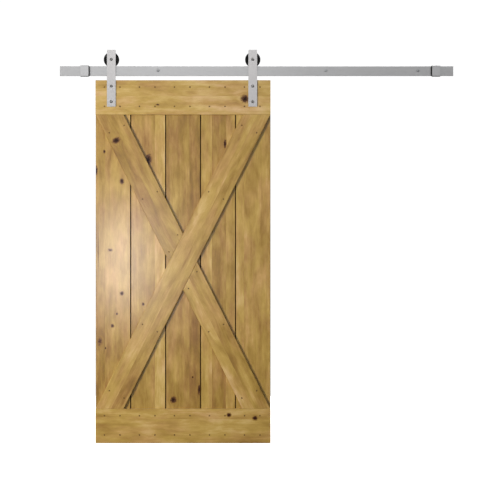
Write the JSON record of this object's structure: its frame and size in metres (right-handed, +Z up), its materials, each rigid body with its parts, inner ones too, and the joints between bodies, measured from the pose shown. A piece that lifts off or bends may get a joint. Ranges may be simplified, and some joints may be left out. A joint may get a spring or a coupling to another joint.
{
  "type": "sliding barn door",
  "caption": "Plank barn door with an X brace, hung on strap hangers whose grooved wheels roll along a flat steel wall rail between end stops.",
  "frame": {"origin": "on the wall plane, on the axis of the middle lag bolt", "axes": "+X to the right seen from the room, +Y into the wall, +Z up"},
  "size_m": [2.286, 0.1211, 2.284],
  "materials": {
    "rail_steel": "satin brushed along the rail",
    "strap_steel": "satin brushed along the strap",
    "stop_steel": "satin brushed",
    "standoff_steel": "turned",
    "fixing_steel": "zinc plated",
    "bolt_steel": "polished stainless",
    "bearing_steel": "ground",
    "cage_brass": "stamped",
    "black_steel": "black oxide",
    "wheel_nylon": "turned black nylon",
    "bumper_rubber": "matt",
    "plank_wood": "knotty alder, clear satin coat",
    "trim_wood": "knotty alder, clear satin coat",
    "nail_steel": "dull brown wax over the head"
  },
  "bodies": {
    "track": {"rail": "rail_steel", "standoff_1": "standoff_steel", "standoff_2": "standoff_steel", "standoff_3": "standoff_steel", "standoff_4": "standoff_steel", "standoff_5": "standoff_steel", "lag_bolt_1": "fixing_steel", "lag_bolt_2": "fixing_steel", "lag_bolt_3": "fixing_steel", "lag_bolt_4": "fixing_steel", "lag_bolt_5": "fixing_steel", "lag_washers": "fixing_steel", "stop_left": "stop_steel", "stop_right": "stop_steel", "bumper_left": "bumper_rubber", "bumper_right": "bumper_rubber", "stop_set_screws": "black_steel"},
    "door": {"plank_1": "plank_wood", "plank_2": "plank_wood", "plank_3": "plank_wood", "plank_4": "plank_wood", "plank_5": "plank_wood", "top_board": "trim_wood", "bottom_board": "trim_wood", "brace_long": "trim_wood", "brace_upper": "trim_wood", "brace_lower": "trim_wood", "nails_top_board": "nail_steel", "nails_bottom_board": "nail_steel", "nails_braces": "nail_steel", "strap_left": "strap_steel", "strap_right": "strap_steel", "door_bolts_left": "bolt_steel", "door_bolts_right": "bolt_steel", "barrel_nuts_left": "bolt_steel", "barrel_nuts_right": "bolt_steel", "axle_bolt_left": "bolt_steel", "axle_bolt_right": "bolt_steel", "axle_spacer_left": "fixing_steel", "axle_spacer_right": "fixing_steel", "axle_washer_left": "fixing_steel", "axle_washer_right": "fixing_steel", "axle_nut_left": "fixing_steel", "axle_nut_right": "fixing_steel", "bearing_inner_left": "bearing_steel", "bearing_inner_right": "bearing_steel"},
    "wheel_left": {"wheel_left": "wheel_nylon", "bearing_outer_left": "bearing_steel", "bearing_shields_left": "bearing_steel", "circlip_left": "black_steel", "bearing_balls_left": "bearing_steel", "bearing_cage_left": "cage_brass"},
    "wheel_right": {"wheel_right": "wheel_nylon", "bearing_outer_right": "bearing_steel", "bearing_shields_right": "bearing_steel", "circlip_right": "black_steel", "bearing_balls_right": "bearing_steel", "bearing_cage_right": "cage_brass"}
  },
  "joints": [
    {"name": "door_slide", "type": "slide", "parent": "track", "child": "door", "axis": [1, 0, 0], "range_m": [-0.1002, 1.0092]},
    {"name": "wheel_left_spin", "type": "hinge", "parent": "door", "child": "wheel_left", "pos_m": [-0.825, -0.037, 0.062], "axis": [0, 1, 0], "continuous": true},
    {"name": "wheel_right_spin", "type": "hinge", "parent": "door", "child": "wheel_right", "pos_m": [-0.004, -0.037, 0.062], "axis": [0, 1, 0], "continuous": true}
  ],
  "couplings": [
    {"joint": "wheel_left_spin", "follows": "door_slide", "rad_per_m": 26.316},
    {"joint": "wheel_right_spin", "follows": "door_slide", "rad_per_m": 26.316}
  ]
}
